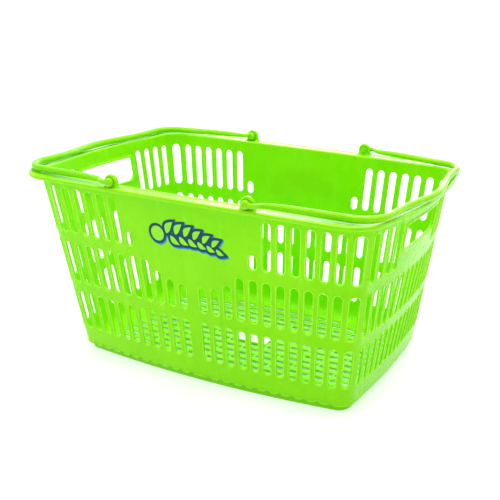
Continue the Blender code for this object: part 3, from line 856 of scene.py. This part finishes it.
def make_emblem(name, back=False):
    """Thin printed sheet that follows the front or back wall."""
    layers = emblem_layers()
    points, areas = [], []
    for _, outline in layers:
        if signed_area(outline) < 0:
            outline = outline[::-1]
        areas.append(list(range(len(points), len(points) + len(outline))))
        points += [Vector(q) for q in outline]
    result = delaunay_2d_cdt(points, [], areas, 1, 1e-4)
    c, s = math.cos(math.radians(EMBLEM_TILT)), math.sin(math.radians(EMBLEM_TILT))
    flat = np.array([(v.x * c - v.y * s, v.x * s + v.y * c) for v in result[0]])
    x = flat[:, 0] * (-1 if back else 1)
    place = HALF - np.abs(x) if back else np.abs(x)
    verts = []
    for offset in (INK_TOP, INK_BASE):
        level = wall(place, EMBLEM_Z + flat[:, 1], offset)
        level[:, 0] *= np.sign(x) + (x == 0)
        verts += [tuple(q) for q in level]

    count = len(flat)
    faces, inks, edges = [], [], {}
    for triangle, owners in zip(result[2], result[5]):
        if not owners:
            continue
        ink_slot = min(layers[k][0] for k in owners)
        ids = list(triangle)
        faces.append(ids[::-1] if back else ids)
        faces.append([count + i for i in (ids if back else ids[::-1])])
        inks += [ink_slot, ink_slot]
        for i in range(len(ids)):
            edges[(ids[i], ids[(i + 1) % len(ids)])] = ink_slot
    for (a, b), ink_slot in edges.items():
        if (b, a) not in edges:
            faces.append((b, a, count + a, count + b))
            inks.append(ink_slot)
    mesh = new_mesh(name, verts, faces)
    mesh.polygons.foreach_set("material_index", np.array(inks, np.int32))
    bm = bmesh.new()
    bm.from_mesh(mesh)
    loose = [vert for vert in bm.verts if not vert.link_faces]
    bmesh.ops.delete(bm, geom=loose, context='VERTS')
    bmesh.ops.recalc_face_normals(bm, faces=bm.faces)
    bm.to_mesh(mesh)
    bm.free()
    return link_object(name, mesh)


front_emblem = make_emblem("front_emblem")
back_emblem = make_emblem("back_emblem", back=True)


# --------------------------------------------------------------- floor label
def make_label(corner=4.0, bevel=0.15):
    low, high = [Vector(point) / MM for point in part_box("floor_label")]
    centre, half = (low + high) / 2, (high - low) / 2
    verts, faces, last = [], [], None
    for inset, z in ((0.0, low.z), (0.0, high.z - bevel), (bevel, high.z)):
        points = rounded_box(centre, half, corner, -inset, 8)
        ids = list(range(len(verts), len(verts) + len(points)))
        verts += [(x, y, z) for x, y in points]
        if last:
            for i in range(len(ids)):
                j = (i + 1) % len(ids)
                faces.append((last[i], last[j], ids[j], ids[i]))
        else:
            faces.append(tuple(reversed(ids)))
        last = ids
    faces.append(tuple(last))
    return make_object("label_sticker", verts, faces, smooth=30)


label = make_label()


# ----------------------------------------------------------------- materials
def srgb(*channels):
    """Linear colour from 0-255 screen values."""
    def linear(v):
        v /= 255.0
        return v / 12.92 if v <= 0.04045 else ((v + 0.055) / 1.055) ** 2.4
    return (*map(linear, channels), 1.0)


class Nodes:
    """Short hand for building a node tree."""

    def __init__(self, name):
        self.mat = bpy.data.materials.new(name)
        self.mat.use_nodes = True
        self.tree = self.mat.node_tree
        self.bsdf = next(n for n in self.tree.nodes if n.type == 'BSDF_PRINCIPLED')
        self.coord = self.tree.nodes.new("ShaderNodeTexCoord").outputs["Object"]

    def put(self, socket, value):
        if isinstance(value, bpy.types.NodeSocket):
            self.tree.links.new(value, socket)
        else:
            socket.default_value = value

    def add(self, kind, props=None, **inputs):
        node = self.tree.nodes.new(kind)
        for key, value in (props or {}).items():
            setattr(node, key, value)
        for key, value in inputs.items():
            self.put(node.inputs[key.replace("_", " ")], value)
        return node

    def add_indexed(self, kind, props, values):
        """Node whose inputs are given by number."""
        node = self.add(kind, props)
        for index, value in values.items():
            self.put(node.inputs[index], value)
        return node

    def stretch(self, scale, rot=(0, 0, 0)):
        return self.add("ShaderNodeMapping", Vector=self.coord, Scale=scale,
                        Rotation=rot).outputs[0]

    def noise(self, scale, detail=2.0, rough=0.5, vec=None, warp=0.0):
        return self.add("ShaderNodeTexNoise", Vector=vec or self.coord, Scale=scale,
                        Detail=detail, Roughness=rough, Distortion=warp).outputs["Fac"]

    def remap(self, value, span, to=(0.0, 1.0)):
        """Clamped map of the value from one range to another."""
        return self.add_indexed("ShaderNodeMapRange", {"clamp": True},
                                dict(enumerate((value, *span, *to)))).outputs[0]

    def calc(self, operation, a, b):
        return self.add_indexed("ShaderNodeMath", {"operation": operation},
                                {0: a, 1: b}).outputs[0]

    def mix(self, fac, a, b):
        return self.add_indexed("ShaderNodeMix", {"data_type": 'RGBA'},
                                {0: fac, 6: a, 7: b}).outputs[2]

    def length(self, vector):
        return self.add_indexed("ShaderNodeVectorMath", {"operation": 'LENGTH'},
                                {0: vector}).outputs["Value"]

    def attribute(self, name):
        return self.add("ShaderNodeAttribute", {"attribute_name": name}).outputs["Fac"]

    def bump(self, height, dist, strength, normal=None):
        node = self.add("ShaderNodeBump", Height=height, Distance=dist, Strength=strength)
        if normal is not None:
            self.put(node.inputs["Normal"], normal)
        return node.outputs[0]

    def inside_band(self, value, low, high):
        return self.calc('MULTIPLY', self.calc('GREATER_THAN', value, low),
                         self.calc('LESS_THAN', value, high))

    def set(self, **inputs):
        for key, value in inputs.items():
            self.put(self.bsdf.inputs[key.replace("_", " ")], value)


def wear_and_painted_light_tint(net, flow, base, deep, pale):
    """Drifting tint with flow streaks, paler ridges that are partly edge wear and partly painted
    highlight, painted shade in grooves, painted highlight on marked crests, painted shade on the
    heel's underside and foot, and a greyer, darker floor top.
    """
    drift = net.noise(scale=9.0, detail=3.0, rough=0.55, warp=0.4)
    tint = net.mix(net.remap(drift, span=(0.3, 0.7)), base, deep)
    tint = net.mix(net.remap(flow, span=(0.52, 0.72), to=(0.0, 0.10)), tint, pale)
    # pointiness: convex edges turn paler, partly edge wear and partly painted highlight; concave
    # creases turn deeper, a painted shade
    bend = net.add("ShaderNodeNewGeometry").outputs["Pointiness"]
    ridge = net.remap(bend, span=(0.515, 0.60), to=(0.0, 0.55))
    groove = net.remap(bend, span=(0.485, 0.42), to=(0.0, 0.35))
    patchy = net.noise(scale=180.0, detail=3.0, rough=0.6)
    edge_wear_and_highlight = net.calc('MULTIPLY', ridge, net.remap(patchy, span=(0.35, 0.65), to=(0.45, 1.0)))
    tint = net.mix(edge_wear_and_highlight, tint, pale)
    tint = net.mix(groove, tint, deep)
    # painted highlight on the marked raised edges
    crest = net.attribute("crest")
    tint = net.mix(net.remap(crest, span=(0.0, 1.0), to=(0.0, 0.45)), tint, pale)
    # painted shade in a darker green on the marked heel underside and foot
    tint = net.mix(net.remap(crest, span=(0.0, -1.0), to=(0.0, 0.55)), tint,
                   srgb(92, 200, 0))
    # the floor's top is mixed towards a greyer, darker green in noisy patches
    floor_tint_mask = net.attribute("floor_tint_mask")
    floor_patchiness = net.noise(scale=70.0, detail=4.0, rough=0.7)
    floor_tint_mask = net.calc('MULTIPLY', floor_tint_mask,
                      net.remap(floor_patchiness, span=(0.36, 0.66), to=(0.30, 0.75)))
    return net.mix(floor_tint_mask, tint, srgb(104, 186, 56))


def scuffs(net):
    """Thin lines crossing in two directions, only on some patches."""
    first = net.noise(scale=1.0, rough=0.6, vec=net.stretch(
        scale=(60.0, 1400.0, 900.0), rot=(0.0, 0.2, 0.5)))
    second = net.noise(scale=1.0, rough=0.6, vec=net.stretch(
        scale=(1200.0, 1300.0, 55.0), rot=(0.15, 0.3, 0.0)))
    lines = net.calc('MAXIMUM', net.remap(first, span=(0.66, 0.74)),
                     net.remap(second, span=(0.67, 0.75)))
    return net.calc('MULTIPLY', lines, net.remap(net.noise(scale=13.0), span=(0.50, 0.66)))


def moulded(name, base, deep, pale, rough, scatter, wave):
    """Glossy moulded plastic; wave scales its soft unevenness."""
    net = Nodes(name)
    flow = net.noise(scale=26.0, detail=3.0, rough=0.6, warp=1.2,
                     vec=net.stretch(scale=(1.0, 1.0, 0.16)))
    tint = wear_and_painted_light_tint(net, flow, base, deep, pale)
    scuff = scuffs(net)
    tint = net.mix(net.calc('MULTIPLY', scuff, 0.30), tint, pale)
    gloss = net.remap(net.noise(scale=34.0, detail=4.0, rough=0.6), span=(0.3, 0.7),
                      to=(rough - 0.05, rough + 0.07))
    gloss = net.calc('ADD', gloss, net.calc('MULTIPLY', scuff, 0.22))
    gloss = net.calc('ADD', gloss,
                     net.calc('MULTIPLY', net.remap(flow, span=(0.45, 0.75)), 0.05))
    # soft waves, orange peel, fine grain, then the scuffs cut in
    normal = net.bump(net.noise(scale=38.0), dist=0.0007 * wave, strength=0.55)
    normal = net.bump(net.noise(scale=420.0), dist=0.00006, strength=0.7, normal=normal)
    normal = net.bump(net.noise(scale=2600.0, detail=1.0), dist=0.000008, strength=0.6,
                      normal=normal)
    normal = net.bump(net.calc('MULTIPLY', scuff, -1.0), dist=0.00002, strength=0.6,
                      normal=normal)
    net.set(Base_Color=tint, Roughness=gloss, IOR=1.49, Normal=normal,
            Specular_IOR_Level=0.30, Specular_Tint=(0.95, 1.0, 0.32, 1.0),
            Subsurface_Weight=scatter, Subsurface_Radius=(0.55, 1.0, 0.18),
            Subsurface_Scale=0.004)
    return net.mat


def ink(name, base, worn, rough):
    """Printed ink with a slightly uneven body and tiny pin holes."""
    net = Nodes(name)
    uneven = net.noise(scale=240.0, detail=3.0, rough=0.6)
    tint = net.mix(net.remap(uneven, span=(0.35, 0.7), to=(0.0, 0.5)), base, worn)
    pits = net.remap(net.noise(scale=1500.0), span=(0.70, 0.78))
    tint = net.mix(net.calc('MULTIPLY', pits, 0.6), tint, srgb(132, 226, 16))
    gloss = net.remap(net.noise(scale=300.0), span=(0.3, 0.7),
                      to=(rough - 0.05, rough + 0.08))
    normal = net.bump(net.noise(scale=900.0), dist=0.00002, strength=0.5)
    net.set(Base_Color=tint, Roughness=gloss, IOR=1.48, Normal=normal,
            Specular_IOR_Level=0.18)
    return net.mat


def film(name):
    """White film label with printed bars, a plain band and a slightly creased surface."""
    net = Nodes(name)
    sep = net.add("ShaderNodeSeparateXYZ", Vector=net.coord)
    x, y = sep.outputs[0], sep.outputs[1]
    bars = net.remap(net.noise(scale=1.0, detail=0.0,
                               vec=net.stretch(scale=(1500.0, 0.5, 0.5))), span=(0.5, 0.53))
    in_x = net.inside_band(x, low=-0.021, high=0.015)
    in_y = net.inside_band(y, low=-0.007, high=0.003)
    code = net.calc('MULTIPLY', bars, net.calc('MULTIPLY', in_x, in_y))
    band = net.inside_band(y, low=0.0075, high=0.0105)
    stain = net.noise(scale=55.0, detail=3.0, rough=0.6)
    tint = net.mix(net.remap(stain, span=(0.35, 0.7), to=(0.0, 0.6)),
                   srgb(236, 239, 232), srgb(214, 220, 206))
    tint = net.mix(net.calc('MULTIPLY', code, 0.8), tint, srgb(70, 76, 74))
    tint = net.mix(net.calc('MULTIPLY', band, 0.65), tint, srgb(120, 132, 128))
    normal = net.bump(net.noise(scale=60.0, detail=3.0, rough=0.6, warp=1.0),
                      dist=0.0006, strength=0.6)
    normal = net.bump(net.noise(scale=1400.0, detail=1.0), dist=0.00001, strength=0.5,
                      normal=normal)
    gloss = net.remap(net.noise(scale=80.0), span=(0.3, 0.7), to=(0.28, 0.44))
    net.set(Base_Color=tint, Roughness=gloss, IOR=1.46, Normal=normal)
    return net.mat


# pale also gives the painted highlight on edges and crests, and deep the painted shade in
# creases
lime = moulded("lime_polypropylene", base=srgb(143, 230, 0), deep=srgb(130, 223, 0),
               pale=srgb(190, 250, 70), rough=0.25, scatter=0.34, wave=0.3)
handle_lime = moulded("lime_polypropylene_handles", base=srgb(142, 226, 4),
                      deep=srgb(122, 214, 0), pale=srgb(190, 248, 90), rough=0.24,
                      scatter=0.16, wave=0.1)
# in the order FILL, OUTLINE, SHADOW
inks = [ink("ink_leaf_green", base=srgb(150, 238, 40), worn=srgb(128, 222, 30), rough=0.36),
        ink("ink_outline_teal", base=srgb(0, 66, 92), worn=srgb(4, 80, 102), rough=0.34),
        ink("ink_shadow_blue", base=srgb(38, 140, 196), worn=srgb(60, 160, 205), rough=0.36)]
label_film = film("label_film_white")

# object, CAD piece it replaces, moving part it rides on, material, material slot
for obj, cad_name, part, material, slot_name in (
        (body, "basket_body", "basket", lime, "body_plastic"),
        (left, "handle_left", "left_handle", handle_lime, "handle_plastic"),
        (right, "handle_right", "right_handle", handle_lime, "handle_plastic"),
        (label, "floor_label", "basket", label_film, "label_film")):
    for target in (obj, frame["nodes"][cad_name]):
        target.data.materials.clear()
        target.data.materials.append(material)
    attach(obj, part)
    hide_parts(cad_name)
for obj in (front_emblem, back_emblem):
    for material in inks:
        obj.data.materials.append(material)
    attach(obj, "basket")


# ------------------------------------------------------- studio, in metres
def floor_material():
    net = Nodes("studio_floor")
    tint = net.mix(net.remap(net.noise(scale=3.0, detail=3.0), span=(0.3, 0.7)),
                   (0.50, 0.50, 0.50, 1), (0.53, 0.53, 0.53, 1))
    far = net.length(net.coord)
    # the ground glows a little more further out, and under the basket its glow fades into a
    # painted shadow, where it would otherwise light the drain holes
    position = net.add("ShaderNodeNewGeometry").outputs["Position"]
    oval = net.add_indexed("ShaderNodeVectorMath", {"operation": 'MULTIPLY'},
                           {0: position, 1: (5.0, 8.4, 0.0)}).outputs["Vector"]
    span = net.length(oval)
    glow = net.calc('MULTIPLY', net.remap(far, span=(0.3, 2.4), to=(0.60, 0.75)),
                    net.remap(span, span=(0.80, 1.04), to=(0.12, 1.0)))
    net.set(Base_Color=tint, Roughness=0.65, Emission_Color=(1.0, 1.0, 1.0, 1.0),
            Emission_Strength=glow)
    return net.mat


def backdrop(near=-6.0, bend=5.0, radius=3.0, top=9.0, half_width=9.0, drop=0.0004, steps=24):
    """Pale sweep: flat floor that curves up far behind the basket."""
    profile = [(near, 0.0), (bend, 0.0)]        # distance back, height
    for i in range(1, steps + 1):
        angle = math.pi / 2 * i / steps
        profile.append((bend + radius * math.sin(angle), radius - radius * math.cos(angle)))
    profile.append((bend + radius, top))
    verts = [(x, distance, height - drop) for distance, height in profile
             for x in (-half_width, half_width)]
    faces = [(2 * i, 2 * i + 1, 2 * i + 3, 2 * i + 2) for i in range(len(profile) - 1)]
    mesh = bpy.data.meshes.new("studio_sweep")
    mesh.from_pydata(verts, [], faces)
    mesh.shade_smooth()
    obj = link_object("studio_sweep", mesh)
    obj.rotation_euler[2] = math.radians(24.4)
    mesh.materials.append(floor_material())
    return obj


def softbox(name, location, target, size, power):
    data = bpy.data.lights.new(name, 'AREA')
    data.shape = 'RECTANGLE'
    data.size, data.size_y = size
    data.energy = power
    data.spread = math.pi
    obj = link_object(name, data)
    obj.location = location
    aim = Vector(target) - Vector(location)
    obj.rotation_euler = aim.to_track_quat('-Z', 'Y').to_euler()


def make_world():
    world = bpy.data.worlds.new("studio_world")
    bpy.context.scene.world = world
    world.use_nodes = True
    background = next(n for n in world.node_tree.nodes if n.type == 'BACKGROUND')
    background.inputs["Color"].default_value = (1.0, 1.0, 1.0, 1.0)
    background.inputs["Strength"].default_value = 0.50


def make_camera():
    data = bpy.data.cameras.new("studio_camera")
    data.sensor_width = 36.0
    data.lens = 57.17419
    data.shift_x, data.shift_y = -0.197688, 0.038108
    camera = link_object("studio_camera", data)
    camera.location = (0.53867, -0.89037, 0.50953)
    camera.rotation_euler = [math.radians(a) for a in (69.23251, -1.71480, 24.40728)]
    bpy.context.scene.camera = camera


backdrop()
softbox("key_softbox", location=(-1.3, -1.5, 1.7), target=(0, 0, 0.12),
        size=(1.3, 1.3), power=14)
softbox("right_softbox", location=(1.9, -0.5, 0.9), target=(0, 0, 0.15),
        size=(1.0, 1.4), power=1)
softbox("top_softbox", location=(0.1, 0.3, 2.1), target=(0, 0, 0.1),
        size=(1.8, 1.4), power=44)
softbox("back_softbox", location=(-0.5, 2.2, 1.1), target=(0, 0, 0.14),
        size=(2.0, 1.2), power=22)
make_world()
make_camera()
bpy.context.scene.view_settings.view_transform = 'Standard'
bpy.context.scene.view_settings.look = 'None'

bpy.context.view_layer.update()
